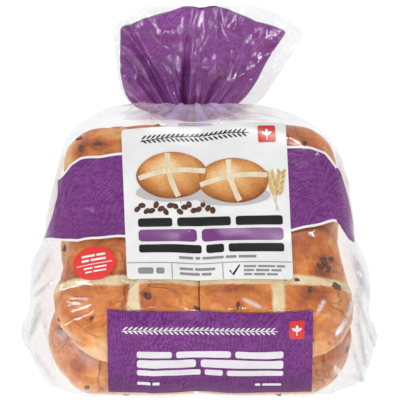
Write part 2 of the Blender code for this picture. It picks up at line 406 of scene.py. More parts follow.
def clear_film(nodes, normal):
    """Clear film: see-through, mirroring at a slant, with a white haze where it is crumpled, a purple tint in the haze
    that is painted light, and blue-grey painted shade on fold crests.
    """
    shine = nodes.add("BsdfGlossy", Color=(0.87, 0.94, 1.0), Roughness=0.08, Normal=normal).outputs[0]
    gone = nodes.add("BsdfTransparent", Color=(0.99, 0.99, 0.99)).outputs[0]
    # painted light: the haze turns purple where the field tint is 1, standing in for the flare seen through the film
    tint = nodes.mix_colour(nodes.field("tint"), (0.93, 0.96, 0.99), (0.72, 0.64, 1.0))
    # painted shade: blue-grey lines on the crests of the long folds
    tint = nodes.mix_colour(nodes.field("painted_fold_shade"), tint, (0.46, 0.57, 0.66))
    milk = nodes.add("BsdfDiffuse", Color=tint).outputs[0]
    glow = nodes.add("BsdfTranslucent", Color=tint).outputs[0]
    lit_through = nodes.math("SUBTRACT", nodes.between(nodes.field("tint"), 0.0, 1.0, 0.6, 0.2), nodes.field("glare"),
                             clamp=True)
    veil = nodes.mix_shader(lit_through, milk, glow)
    mottle = nodes.noise(90.0, 4.0, 0.6, 0.5)
    haze = nodes.math("MULTIPLY", nodes.field("haze"), nodes.between(mottle, 0.3, 0.75, 0.6, 1.2), clamp=True)
    hazy = nodes.mix_shader(haze, gone, veil)
    return nodes.mix_shader(facing(nodes, normal), hazy, shine)


def printed_film(name):
    """Film with its print where the field band, in millimetres inside the print's edge, is above 0."""
    nodes = Nodes(name)
    normal = crinkle(nodes)
    band = nodes.field("band")
    side = nodes.field("side")
    white = nodes.add("BsdfPrincipled", Base_Color=LABEL_WHITE, Roughness=0.25, Normal=normal).outputs[0]
    ink = nodes.mix_shader(nodes.between(band, BORDER, BORDER + 0.2), white, purple_ink(nodes, normal))
    printed = nodes.math("MULTIPLY", nodes.between(nodes.math("MINIMUM", band, side), -0.12, 0.12), 0.985)
    return nodes.finish(nodes.mix_shader(printed, clear_film(nodes, normal), ink))


def flare_film(name):
    """The flare's film: purple up to a clear margin, with no white line, and with painted light: its purple is lighter
    overall and paler still near the neck.
    """
    nodes = Nodes(name)
    spread = nodes.add("CombineXYZ", X=nodes.math("MULTIPLY", nodes.field("fan"), 11.0),
                       Y=nodes.math("MULTIPLY", nodes.field("along"), 2.6))
    rays = nodes.add("TexNoise", Vector=spread.outputs[0], Scale=1.0, Detail=2.5, Roughness=0.55, Distortion=0.5)
    rays.noise_type = "RIDGED_MULTIFRACTAL"
    fading = nodes.between(nodes.field("along"), 0.1, 1.0, 1.0, 0.35)
    normal = nodes.bump(nodes.math("MULTIPLY", rays.outputs["Fac"], fading), 1.0, 1.6 * MM, crinkle(nodes, 0.45))
    printed = nodes.math("MULTIPLY", nodes.between(nodes.field("band"), -0.15, 0.15), 0.97)
    # painted light near the neck, against the shade of the pleats there; below, lift 1.36 is painted light on the whole
    # flare and shade 0.2 adds a little painted shade low down
    painted_light_near_neck = nodes.between(nodes.field("along"), 0.02, 0.42, 0.85, 0.0)
    return nodes.finish(nodes.mix_shader(printed, clear_film(nodes, normal),
                                         purple_ink(nodes, normal, 1.36, 0.9, 0.2, painted_light_near_neck)))


# ---------------------------------------------------------------- the film

# Edges of the purple band seen from above, in millimetres, from left to right.
BAND_BACK_EDGE = ((-95, 26), (-80, 30), (-74, 32.5), (-69.5, 37.5), (-64, 39.6), (-54, 39.6), (-42, 41), (0, 43.5), (47, 45.6),
                  (60, 46), (67.5, 43.6), (75.6, 33), (79.4, 21), (83, 5), (95, -30))
BAND_FRONT_EDGE = ((-95, -1), (-85, -3), (-80, -4.8), (-65, -9.8), (-57, -8.6), (-43, -7.5), (0, -5.5), (49, -3.4),
                   (57, -1), (65, 1.4), (71, 3.4), (74, 3.1), (76, -0.3), (79.5, -5), (95, -7))
BORDER_END = 73             # right of this the edges have no white border
BORDER = 1.35               # width of the white border


# Long folds in the film, seen from the front and above: sideways and upward places of their two ends,
# how far they stand out and their half width, all in millimetres.
FOLDS = (
    (84, 12, 86, -2, 1.2, 1.6), (86, -2, 84, -19, 1.2, 1.6), (84, -19, 89, -46, 1.4, 1.8), (83, -5, 93, -33, 1.3, 1.6),
    (78, -26, 88, -55, 1.2, 1.6), (61, -43, 81, -39, 1.2, 1.8), (73, -27, 82, -9, 1.4, 1.6), (81, 16, 94, -18, 1.4, 1.8),
    (81, -50, 89, -54, 1.0, 1.4), (-77, 3, -89, -8, 1.4, 1.6), (-84, -14, -91, -29, 1.2, 1.6), (-80, 17, -89, -2, 1.2, 1.6),
    (-83, -19, -77, -51, 1.4, 1.8), (-86, -10, -92, -32, 1.2, 1.6), (-80, -6, -38, -10, 0.9, 1.3), (-38, -10, 3, -11, 0.7, 1.2),
    (-89, -38, -76, -56, 1.2, 1.6), (-76, 57, -77, 38, 1.0, 1.6), (-68, 78, -53, 87, 1.2, 1.6), (-53, 87, -27, 95, 1.2, 1.6),
    (47, 90, 67, 76, 1.2, 1.6), (67, 76, 81, 49, 1.2, 1.6), (-62, -22, -46, -40, 1.0, 1.6), (14, -4, 33, -14, 0.8, 1.2),
    (-76, -22, -67, -40, 1.2, 1.7), (-67, -24, -56, -43, 1.0, 1.5), (-72, -44, -58, -58, 1.0, 1.5),
    (64, 70, 67, 49, 0.8, 1.3), (67, 49, 71, 36, 0.7, 1.3), (-75, 54, -44, 50, 0.6, 1.5), (-77, 40, -52, 42, 0.5, 1.4),
)
FOLDS_SEEN_FROM = math.radians(68)
# White glare on the film over the buns, first where it spans the step between the two layers at the left:
# its two ends, seen as above, half width, strength and how much of it shows (3 is all).
GLARES = ((-76, -23, -56, -45, 4.5, 0.28, 0.0), (72, -28, 78, -19, 1.8, 0.80, 0.7), (78, -19, 82, -8, 1.5, 0.60, 0.5),
          (62, -16, 66, -9, 1.5, 0.70, 0.7), (72, -44, 76, -53, 1.7, 0.80, 0.7), (22, -8, 33, -13, 1.8, 0.60, 0.5))


def beside_line(points, ax, ay, bx, by):
    """Share of the way along a line seen from the front and above, and distance from it in millimetres."""
    across = points[..., 0] / MM
    upward = (points[..., 1] * math.sin(FOLDS_SEEN_FROM) + points[..., 2] * math.cos(FOLDS_SEEN_FROM)) / MM
    along = ((across - ax) * (bx - ax) + (upward - ay) * (by - ay)) / ((bx - ax) ** 2 + (by - ay) ** 2)
    held = np.clip(along, 0, 1)
    return held, np.hypot(across - ax - held * (bx - ax), upward - ay - held * (by - ay))


def fold_push(points, narrow=1.0):
    """How far the film stands out on its long folds, in millimetres: sharp crests that fade at their ends."""
    total = 0.0
    for ax, ay, bx, by, height, width in FOLDS:
        held, away = beside_line(points, ax, ay, bx, by)
        total = total + height * np.exp(-away / (narrow * width)) * smooth(1.3 - np.abs(2 * held - 1) ** 3)
    return total * smooth(points[..., 2] / (8 * MM) - 0.5)


def body_film_grid():
    """Rings of the body's film, from the middle of the closed end to the end of the neck."""
    cap = [body_ring(0.0, BODY_AROUND, (k / CAP_RINGS)) for k in range(1, CAP_RINGS)]
    body = [body_ring(k / (BODY_RINGS - 1), BODY_AROUND) for k in range(BODY_RINGS)]
    last, neck = body[-1], neck_ring(0.0)
    rear = [last + (neck - last) * smooth(k / REAR_RINGS) for k in range(1, REAR_RINGS)]
    collar = [neck_ring(NECK_LENGTH * k / 4) for k in range(5)]
    return np.array(cap + body + rear + collar)


def neck_ring(distance):
    y, z, tilt = flare_path(distance)
    ring = even_ring(lambda a: NECK_RADIUS * np.stack([np.cos(a), np.sin(a)], axis=1), BODY_AROUND)
    across, thick = ring.T
    return np.stack([NECK_X + across, y - thick * math.sin(tilt), z + thick * math.cos(tilt)], axis=1)


def make_body_film(grid):
    rings, around = grid.shape[:2]
    normals = grid_normals(grid, (0.0, 0.0, 40 * MM))
    x, y, z = (grid[..., k] for k in range(3))
    turn = np.arange(around)[None, :] / around
    to_neck = smooth((y - 56 * MM) / (31 * MM))
    on_base = smooth(1.0 - z / (6 * MM))
    side = smooth((np.abs(x) - 55 * MM) / (25 * MM))
    front = smooth((-y - 48 * MM) / (14 * MM))
    long_ones = creases(grid, (70 * MM, 13 * MM, 30 * MM), 3) - 0.5
    broad = value_noise(grid, 26 * MM, 5) - 0.5
    folds = creases(grid, (16 * MM, 22 * MM, 34 * MM), 8) - 0.5
    fine = creases(grid, 6 * MM, 11) - 0.5
    wander = 0.6 * value_noise(grid, 22 * MM, 17)
    gathers = saw(turn * 31 + wander) * 0.55 + saw(turn * 17 + 2 * wander) * 0.8
    push = (0.45 * long_ones + 0.5 * broad + (0.4 + 1.1 * side + 0.7 * front) * folds + 0.18 * fine) * (1 - to_neck)
    pulled = smooth((np.linalg.norm(grid - np.array([NECK_X, NECK_Y, NECK_Z]), axis=2) - NECK_RADIUS) / (16 * MM))
    push = push + to_neck * (0.25 + 0.75 * pulled) * (0.8 * gathers + 0.5 * folds)
    push = np.maximum(push - 0.3, -0.75) * (1.0 - on_base) + fold_push(grid)
    push = push + 1.8 * smooth((y - 72 * MM) / (8 * MM)) * smooth((z - 42 * MM) / (12 * MM))
    collar = np.zeros_like(push)
    collar[-5:] = 1.0
    push = push * (1 - collar)
    grid = grid + normals * (push * MM)[..., None]
    grid[..., 2] = np.maximum(grid[..., 2], 0.0)
    tip = grid[0].mean(axis=0)
    points = np.vstack([grid.reshape(-1, 3), tip])
    mesh = mesh_from("body_film", points, ring_faces(rings, around, tip=True), printed_film("body_film"))
    bordered, edges = band_fields(points)
    add_field(mesh, "band", bordered)
    add_field(mesh, "side", edges)
    add_field(mesh, "haze", haze_field(points))
    add_field(mesh, "tint", painted_flare_purple_field(points))
    add_field(mesh, "painted_fold_shade", painted_fold_shade_field(points))
    add_field(mesh, "glare", glare_field(points))
    piece = new_piece("body_film", mesh)
    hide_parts("bag")
    return piece


def inside_edge(x, y, edge, forward):
    """Millimetres from an edge line, above 0 in front of it, or behind it if forward is false."""
    edge = np.array(edge, dtype=float)
    away = np.full(x.shape, 1e9)
    for (ax, ay), (bx, by) in zip(edge[:-1], edge[1:]):
        along = np.clip(((x - ax) * (bx - ax) + (y - ay) * (by - ay)) / ((bx - ax) ** 2 + (by - ay) ** 2), 0, 1)
        away = np.minimum(away, np.hypot(x - ax - along * (bx - ax), y - ay - along * (by - ay)))
    line = np.interp(x, edge[:, 0], edge[:, 1])
    return np.where((y < line) == forward, away, -away)


def band_fields(points):
    """Millimetres inside the band's bordered edges, and inside all of its edges."""
    x, y, z = points.T / MM
    y = y + 0.5 * np.sin(x / 7 + z / 12) + 0.3 * np.sin(x / 3.1)
    back = inside_edge(x, y, BAND_BACK_EDGE, True)
    fore = inside_edge(x, y, BAND_FRONT_EDGE, False)
    left = np.interp(y, (-5, -3, 9, 20, 35), (86.5, 85, 79.3, 76.2, 76.2)) + x
    no_border = 4 * smooth((x - BORDER_END) / 1.5)
    return np.minimum(back + no_border, fore + no_border), np.min([back, fore, left, 82.5 - x, z - 56], axis=0)


def haze_field(points):
    """How milky the film is: a little on top, more at the sides, on folds and where it is gathered towards the neck.
    The milk on fold crests is painted shade, the extra milk where the purple shows is painted light, and the glare is
    painted highlight.
    """
    x, y, z = points.T
    side = smooth((np.abs(x) - 62 * MM) / (22 * MM))
    low_front = smooth((-y - 50 * MM) / (20 * MM)) * smooth(1 - z / (40 * MM))
    near_neck = smooth((34 * MM - np.abs(x - NECK_X)) / (14 * MM))
    shoulder = smooth((y - 58 * MM + 5.5 * MM * near_neck) / (9 * MM)) * smooth((z - 28 * MM) / (16 * MM))
    return (0.012 + 0.20 * side + 0.10 * low_front + 0.10 * shoulder + 0.72 * shoulder * painted_flare_purple_field(points)
            + 0.34 * painted_fold_shade_field(points) + glare_field(points))


def glare_field(points):
    """How white the film is with glare, in broken streaks along the lines of GLARES."""
    glare = np.zeros(len(points))
    for ax, ay, bx, by, width, strength, more in GLARES:
        held, away = beside_line(points, ax, ay, bx, by)
        length = math.hypot(bx - ax, by - ay)
        glints = value_noise(np.stack([held * length / 6, away / 1.6, 0 * away], axis=1), 1.0, 61)
        spread = smooth(1.2 - away / width) * smooth(1.3 - np.abs(2 * held - 1) ** 3)
        glare = glare + strength * spread * smooth(glints * 3 - 0.9 + more)
    return glare


def painted_fold_shade_field(points):
    """1 on the crests of the long folds, where painted shade colours the film blue-grey."""
    return np.clip(fold_push(points, 0.4), 0, 1) * smooth((np.abs(points[:, 0]) - 74 * MM) / (10 * MM))


def painted_flare_purple_field(points):
    """1 where painted light turns the milky film purple, just above the neck, in streaks, in place of the flare seen
    through it.
    """
    x, y, z = points.T
    half = 12 * MM + 0.65 * np.clip(y - 58 * MM, 0, 25 * MM)
    from_neck = np.hypot(x - NECK_X, y - 92 * MM)
    angle = np.arctan2(x - NECK_X, 92 * MM - y)
    streaks = value_noise(np.stack([angle * 7, from_neck / (26 * MM), 0 * x], axis=1), 1.0, 51)
    fine = value_noise(np.stack([angle * 19, from_neck / (14 * MM), 0 * x], axis=1), 1.0, 52)
    shown = smooth((half - np.abs(x - NECK_X)) / (11 * MM) + 0.5) * smooth((y - 50 * MM) / (7 * MM))
    return shown * np.clip(1.6 - 0.8 * streaks - 0.6 * fine, 0.35, 1)


def make_flare():
    """The fan of spare film behind the neck: two sheets that are gathered in pleats."""
    around, rings = FLARE_AROUND, FLARE_RINGS
    turn = np.arange(around) / around
    circle = even_ring(lambda a: np.stack([FLARE_SHAPE * np.cos(a), np.sin(a)], axis=1), around)
    c = circle[:, 0] / FLARE_SHAPE
    upper = np.where(np.arange(around) <= around // 2, 1.0, -1.0)
    bulge = np.sqrt(np.clip(1 - c ** 2, 0, 1))
    spring, widen, soon, shorter = (np.where(c < 0, a, b) for a, b in zip(FLARE_LEFT, FLARE_RIGHT))
    edge = 1.0 - shorter * np.abs(c) ** FLARE_CORNER + 0.022 * np.exp(-((c - 0.06) / 0.3) ** 2)
    grid, inked, fans, alongs = [], [], [], []
    for i in range(rings):
        f = (i / (rings - 1)) ** 1.1
        reach = NECK_RADIUS + spring * (1.0 - np.exp(-(f / soon) ** 1.2)) + widen * f
        length = (FLARE_LENGTH + 2 * MM - NECK_LENGTH) * f * edge
        depth = NECK_RADIUS + 2.5 * MM * smooth(f / 0.25) - 8.7 * MM * smooth((f - 0.2) / 0.8)
        # folds follow straight rays from the neck: fan is the angle of such a ray
        fan = np.arctan2(reach * c, length + 11 * MM)
        place = np.stack([fan * 3, np.full(around, 2.2 * f), np.zeros(around)], axis=1)
        swing = 0.9 * value_noise(place, 1.0, 21) + 0.3 * value_noise(place * 2.3, 1.0, 22)
        left_part = smooth((0.12 - fan) / 0.3)
        gathers = (np.sin(6.28 * (fan * 7 + swing)) * 1.2 + np.sin(6.28 * (fan * 17 + 2 * swing)) * 0.6) * smooth(f / 0.05) * smooth(1.2 - f / 0.42)
        pleats = saw(fan * 3.6 + 1.2 * swing) * (0.9 + 2.3 * left_part) * smooth(f / 0.14) * (1 - 0.25 * f)
        broad = np.sin(6.3 * fan + 4 * swing) * 2.0 * smooth(f / 0.3)
        soft = (value_noise(place * np.array([1.4, 2.2, 1.0]), 1.0, 25) - 0.5) * 4.0 * smooth(f / 0.4)
        crumple = (creases(place * np.array([1.9, 2.4, 1.0]), 1.0, 27) - 0.5) * 2.2 * smooth(f / 0.3)
        valley = -6.5 * np.exp(-((c + 0.17 - 0.17 * f) / 0.045) ** 2) * smooth(f / 0.1) * smooth(1.5 - 1.4 * f)
        together = smooth((f - 0.12) / 0.4)
        push = (gathers + pleats + broad + soft + crumple + valley) * MM * np.where(upper > 0, 1.0, 2 * together - 1.0)
        thick = upper * (depth * bulge + 0.4 * MM) + push * (0.2 + 0.8 * bulge)
        y, z, tilt = flare_path(NECK_LENGTH + length)
        grid.append(np.stack([NECK_X + reach * c, y - thick * np.sin(tilt), z + thick * np.cos(tilt)], axis=1))
        # distance inside the print's edge: from the mouth, and from the two sides
        spare = np.interp(c, (-1, -0.6, -0.3, 0.0, 0.11, 0.25, 0.6, 1), (4.2, 6.4, 5.0, 2.1, 1.3, 4.0, 8.0, 5.0)) * MM
        mouth = (FLARE_LENGTH + 2 * MM - NECK_LENGTH) * edge * (1 - f) - spare
        left_spare = 1.4 * MM * smooth(f / 0.2) + 2.4 * MM * smooth((f - 0.5) / 0.5)
        sides = reach * (1 - np.abs(c)) - np.where(c > 0, 10.5 * MM * smooth(f / 0.14) * (1 - 0.36 * f), left_spare)
        inked.append(np.minimum(mouth, sides) / MM)
        fans.append(fan)
        alongs.append(np.full(around, f))
    mesh = mesh_from("flare_film", np.array(grid).reshape(-1, 3), ring_faces(rings, around), flare_film("flare_film"))
    add_field(mesh, "band", np.array(inked))
    add_field(mesh, "fan", np.array(fans))
    add_field(mesh, "along", np.array(alongs))
    add_field(mesh, "haze", np.full(rings * around, 0.22))
    add_field(mesh, "tint", np.zeros(rings * around))
    add_field(mesh, "painted_fold_shade", np.zeros(rings * around))
    add_field(mesh, "glare", np.zeros(rings * around))
    piece = new_piece("flare_film", mesh)
    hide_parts("bag")
    return piece


# ---------------------------------------------------------------- the buns

def cube_sphere(cuts):
    """Directions on a sphere in six even grids, and the quads between them."""
    bm = bmesh.new()
    bmesh.ops.create_cube(bm, size=2.0)
    bmesh.ops.subdivide_edges(bm, edges=bm.edges, cuts=cuts, use_grid_fill=True)
    bm.verts.ensure_lookup_table()
    points = np.array([v.co for v in bm.verts])
    points = np.tan(points * math.pi / 4 * 0.98) / math.tan(math.pi / 4 * 0.98)
    faces = [tuple(v.index for v in face.verts) for face in bm.faces]
    bm.free()
    return points / np.linalg.norm(points, axis=1, keepdims=True), faces


def bun_crust():
    """Egg-washed crust that runs from pale sides to brown spots, with piped paste where cross is high. It is darker in
    its creases and seams, which is painted shade, and beside burst raisins.
    """
    nodes = Nodes("bun_crust")
    blotch = nodes.noise(36.0, 5.0, 0.62, 0.7)
    fleck = nodes.noise(330.0, 3.0, 0.6)
    painted_crease_shade = nodes.field("crack")
    tone = nodes.math("ADD", nodes.field("bake"), nodes.math("MULTIPLY", nodes.math("SUBTRACT", blotch, 0.5), 1.5))
    tone = nodes.math("ADD", tone, nodes.math("MULTIPLY", nodes.math("SUBTRACT", nodes.noise(110.0, 4.0, 0.65, 1.5), 0.5), 0.7))
    # painted shade: the crust darkens in its creases, where the field crack is high
    tone = nodes.math("ADD", tone, nodes.math("MULTIPLY", painted_crease_shade, 0.3))
    ramp = nodes.add("ValToRGB", Fac=tone)
    steps = ((0.0, (0.97, 0.64, 0.36)), (0.25, (0.91, 0.42, 0.115)), (0.5, (0.75, 0.225, 0.030)),
             (0.75, (0.50, 0.108, 0.014)), (1.0, (0.25, 0.050, 0.010)))
    elements = ramp.color_ramp.elements
    while len(elements) < len(steps):
        elements.new(0.5)
    for element, (at, colour) in zip(elements, steps):
        element.position, element.color = at, (*colour, 1.0)
    crust = nodes.mix_colour(nodes.between(fleck, 0.60, 0.74, 0.0, 0.30), ramp.outputs[0], (0.32, 0.10, 0.035))
    seam = nodes.math("ABSOLUTE", nodes.math("SUBTRACT", nodes.noise(26.0, 3.0, 0.6, 1.1), 0.5))
    torn = nodes.math("MULTIPLY", nodes.between(seam, 0.0, 0.025, 1.0, 0.0), nodes.between(nodes.noise(23.0, 2.0), 0.47, 0.60))
    # painted shade: thin seams that are bumped in also darken
    crust = nodes.mix_colour(nodes.math("MULTIPLY", torn, 0.52), crust, (0.27, 0.080, 0.026))
    grain = nodes.noise(160.0, 4.0, 0.65)
    ragged = nodes.noise(75.0, 4.0, 0.7, 0.6)
    cross = nodes.math("ADD", nodes.field("cross"), nodes.math("MULTIPLY", nodes.math("SUBTRACT", ragged, 0.5), 1.1))
    paste = nodes.mix_colour(nodes.between(grain, 0.3, 0.7), (0.86, 0.63, 0.34), (0.94, 0.79, 0.52))
    covered = nodes.math("MINIMUM", nodes.between(cross, 0.10, 1.0), nodes.between(nodes.field("cross"), 0.02, 0.4))
    colour = nodes.mix_colour(covered, crust, paste)
    rough = nodes.math("MULTIPLY_ADD", covered, 0.25, 0.32)
    wrinkles = nodes.noise(120.0, 5.0, 0.62, 1.4, nodes.stretch((1.0, 1.0, 0.45)))
    relief = nodes.math("SUBTRACT", wrinkles, nodes.math("MULTIPLY", torn, 0.6))
    normal = nodes.bump(relief, 0.9, 1.7 * MM)
    shader = nodes.add("BsdfPrincipled", Base_Color=colour, Roughness=rough, Normal=normal,
                       Subsurface_Weight=0.10, Subsurface_Radius=(0.006, 0.003, 0.0015), Subsurface_Scale=0.5)
    return nodes.finish(shader.outputs[0])


BUN_CUTS = 40
CROSS_X = (-35.5 * MM, 41.5 * MM)
CROSS_Y = (-31.5 * MM, 31 * MM)
TOUCH_X = -0.4 * MM         # where the left and the right buns of the upper layer meet
LOWER_TOUCH_X = -3.2 * MM   # and of the lower layer
SKIN = 1.1 * MM             # the least room between a bun and the film over it
# Where each bun would reach if nothing pressed on it, in millimetres:
# outer edge in X, inner reach in X beyond the next bun, front, back, bottom, top;
# then how square its outer corner is at the front (2 is round).
BUN_REACH = {
    "lower_front_left": (-82.5, 12, -78, 14, 0.4, 42.0, 2.2), "lower_front_right": (84, 12, -78, 14, 0.4, 42.3, 2.1),
    "lower_back_left": (-76, 12, -14, 66, 0.4, 42.4, 3.8), "lower_back_right": (75, 12, -14, 67, 0.4, 42.0, 3.8),
    "upper_front_left": (-79.5, 14, -70, 16, 42.0, 84.6, 2.2), "upper_front_right": (82.5, 14, -70, 16, 42.2, 84.6, 3.0),
    "upper_back_left": (-74, 12, -14, 64, 42.6, 84.4, 3.8), "upper_back_right": (73.5, 12, -14, 65, 42.2, 84.4, 3.8),
}


# Raisins that broke through the crust: place in plan, in millimetres, and size against the scattered ones.
BURST_RAISINS = ((66, -19, 1.5), (69.5, -17, 1.2), (64, -23.5, 1.1), (68.5, -23, 1.0), (72, -32, 1.3), (58, -36.5, 0.9),
                 (-55, 48, 1.0), (-64, 46, 1.2), (-71, -5, 0.9), (20, -46, 0.8), (46, -29.5, 0.9), (51, -31, 0.7))


def torn_round_raisins(points):
    """1 on the crust right beside a raisin that broke through it, fading with distance."""
    x, y = points[:, 0] / MM, points[:, 1] / MM
    torn = np.zeros(len(points))
    for at_x, at_y, size in BURST_RAISINS:
        torn = np.maximum(torn, np.exp(-((x - at_x) ** 2 + (y - at_y) ** 2) / (4.6 * size) ** 2))
    return torn * smooth((points[:, 2] - 0.7 * PACK_HEIGHT) / (0.1 * PACK_HEIGHT))


def film_tree(grid):
    """The film without its creases, for the buns to press on."""
    rings, around = grid.shape[:2]
    points = np.vstack([grid.reshape(-1, 3), grid[0].mean(axis=0)])
    return BVHTree.FromPolygons(points.tolist(), ring_faces(rings, around, tip=True))


def pressed_inside(points, film, inner):
    """Points kept inside the film by the thickness SKIN. inner is a point well inside."""
    hit, normal, *_ = film.find_nearest(Vector(inner))
    flip = 1.0 if (hit - Vector(inner)).dot(normal) > 0 else -1.0
    soft = 0.7 * MM
    moved = []
    for p in points:
        p = Vector(p)
        hit, normal, *_ = film.find_nearest(p)
        normal = normal * flip
        depth = (hit - p).dot(normal)
        if depth < SKIN + 4 * soft:
            kept = SKIN + soft_step_length(depth - SKIN, soft)
            p = p - normal * (kept - depth)
        moved.append(p)
    return np.array(moved)


def outer_gap(points):
    """Distance in plan from the middle of the pack, where all the buns meet."""
    return np.hypot(points[:, 0] - TOUCH_X, points[:, 1] - ROW_GAP_Y)


def make_bun(name, place, row, column, unit, faces, crust, film, seed):
    """One bun: a squarish dome, flat where it grew against others, with a piped cross."""
    rng = np.random.default_rng(seed)
    outer, beyond, front, back, bottom, top = (v * MM for v in place[:6])
    touch_x = TOUCH_X if bottom > 10 * MM else LOWER_TOUCH_X
    inner = -np.sign(outer) * beyond
    half_x, half_y, height = abs(outer - inner) / 2, (back - front) / 2, top - bottom
    middle = np.array([(outer + inner) / 2, (front + back) / 2, bottom + 0.40 * height])
    upper, lower = 0.60 * height, 0.40 * height
    d = unit * np.array([half_x, half_y, 0.8 * height])
    d /= np.linalg.norm(d, axis=1, keepdims=True)
    corner = smooth(0.5 + 1.2 * np.sign(outer) * d[:, 0] / half_x * half_y) * smooth(0.5 - 1.2 * d[:, 1])
    square = 3.8 - (3.8 - place[6]) * corner
    flat = (np.abs(d[:, 0] / half_x) ** square + np.abs(d[:, 1] / half_y) ** square) ** (1 / square)
    up = d[:, 2] > 0
    reach_z = np.where(up, upper, lower)
    power = np.where(up, 2.5, 3.4)
    radius = (flat ** power + (np.abs(d[:, 2]) / reach_z) ** power) ** (-1 / power)
    p = d * radius[:, None]
    where = p + middle
    out = p / np.array([half_x, half_y, upper]) ** 2
    out /= np.linalg.norm(out, axis=1, keepdims=True)
    rim = smooth((flat * radius - 0.55) / 0.35)
    swell = 3.0 * (value_noise(where, 34 * MM, seed) - 0.5) + 1.2 * (value_noise(where, 13 * MM, seed + 1) - 0.5)
    crack = creases(where, (11 * MM, 11 * MM, 20 * MM), seed + 2) ** 5 * value_noise(where, 21 * MM, seed + 3)
    strands = creases(where, (34 * MM, 34 * MM, 11 * MM), seed + 9) ** 3
    low = smooth(1.25 - (where[:, 2] - bottom) / (0.62 * height)) * smooth((outer_gap(where) - 8 * MM) / (20 * MM))
    push = swell - (0.3 + 1.3 * rim) * crack * 1.6 - 1.5 * low * strands
    # the cross: two strips of paste that lie over the dome and fade at the sides
    wobble_x = 1.6 * MM * (value_noise(where, 18 * MM, seed + 5) - 0.5)
    wobble_y = 1.6 * MM * (value_noise(where, 18 * MM, seed + 6) - 0.5)
    width = 3.9 * MM + 1.8 * MM * (value_noise(where, 12 * MM, seed + 7) - 0.5)
    from_x = np.abs(where[:, 0] - CROSS_X[column] + wobble_x) / (1.15 * width)
    from_y = np.abs(where[:, 1] - CROSS_Y[row] + wobble_y) / (0.86 * width)
    ends = 23 * MM if row or bottom < 10 * MM else math.inf
    strip_x = (1 - from_x) * smooth((ends - np.abs(where[:, 1] - CROSS_Y[row])) / (3 * MM) + 1)
    strip_y = (1 - from_y) * smooth((ends + 7 * MM - np.abs(where[:, 0] - CROSS_X[column])) / (3 * MM) + 1)
    strip = np.clip(np.maximum(strip_x, strip_y), 0, 1) * smooth((where[:, 2] - bottom - 0.35 * height) / (8 * MM))
    cross = smooth(strip / 0.5)
    where = where + out * ((push + 0.6 * cross) * MM)[:, None]
    # buns that grew into each other stay flat where they touch
    for axis, gap in ((0, touch_x), (1, ROW_GAP_Y)):
        sign = np.sign(middle[axis] - gap)
        away = sign * (where[:, axis] - gap) - 0.15 * MM
        where[:, axis] = gap + sign * (0.15 * MM + soft_step_length(away, 0.8 * MM))
    where[:, 2] = np.maximum(where[:, 2], bottom)
    if row == 0:
        where[:, 0] = touch_x + (where[:, 0] - touch_x) * (1 - 0.10 * smooth((where[:, 1] + 45 * MM) / (45 * MM)))
    where = pressed_inside(where, film, middle)
    level = (where[:, 2] - bottom) / height
    outside = smooth((np.abs(where[:, 0] - TOUCH_X) - 8 * MM) / (8 * MM)) * smooth((np.abs(where[:, 1] - ROW_GAP_Y) - 8 * MM) / (8 * MM))
    bake = 0.04 + 0.44 * smooth((level - 0.12) / 0.6) + 0.10 * rng.random() + 0.12 * smooth((level - 0.75) / 0.25)
    # the left buns are a little paler overall and behind the cross, and darker in a patch at the front left
    if not column:
        behind = smooth((where[:, 1] + 31 * MM) / (8 * MM))
        beside = np.exp(-((where[:, 0] + 66 * MM) / (12 * MM)) ** 2 - ((where[:, 1] + 43 * MM) / (9 * MM)) ** 2)
        bake = bake - 0.05 - 0.14 * behind * smooth(level / 0.5) + 0.24 * beside
    mesh = mesh_from(name, where, faces, crust)
    add_field(mesh, "bake", bake)
    add_field(mesh, "cross", strip / 0.5)
    ragged = torn_round_raisins(where) * (0.4 + 1.2 * value_noise(where, 3 * MM, seed + 11))
    # crack darkens the crust: painted shade in its creases and on the low strands, and real dark marks beside burst
    # raisins
    add_field(mesh, "crack", crack * (0.35 + 0.65 * outside) + 0.8 * low * strands + 1.1 * ragged)
    return new_piece(name, mesh)


def make_buns(grid):
    """Two layers of two rows of two buns."""
    unit, faces = cube_sphere(BUN_CUTS)
    crust = bun_crust()
    film = film_tree(grid)
    buns = []
    for number, (name, place) in enumerate(BUN_REACH.items()):
        row, column = int("back" in name), int("right" in name)
        buns.append(make_bun(f"bun_{name}", place, row, column, unit, faces, crust, film, 100 + 10 * number))
    return buns


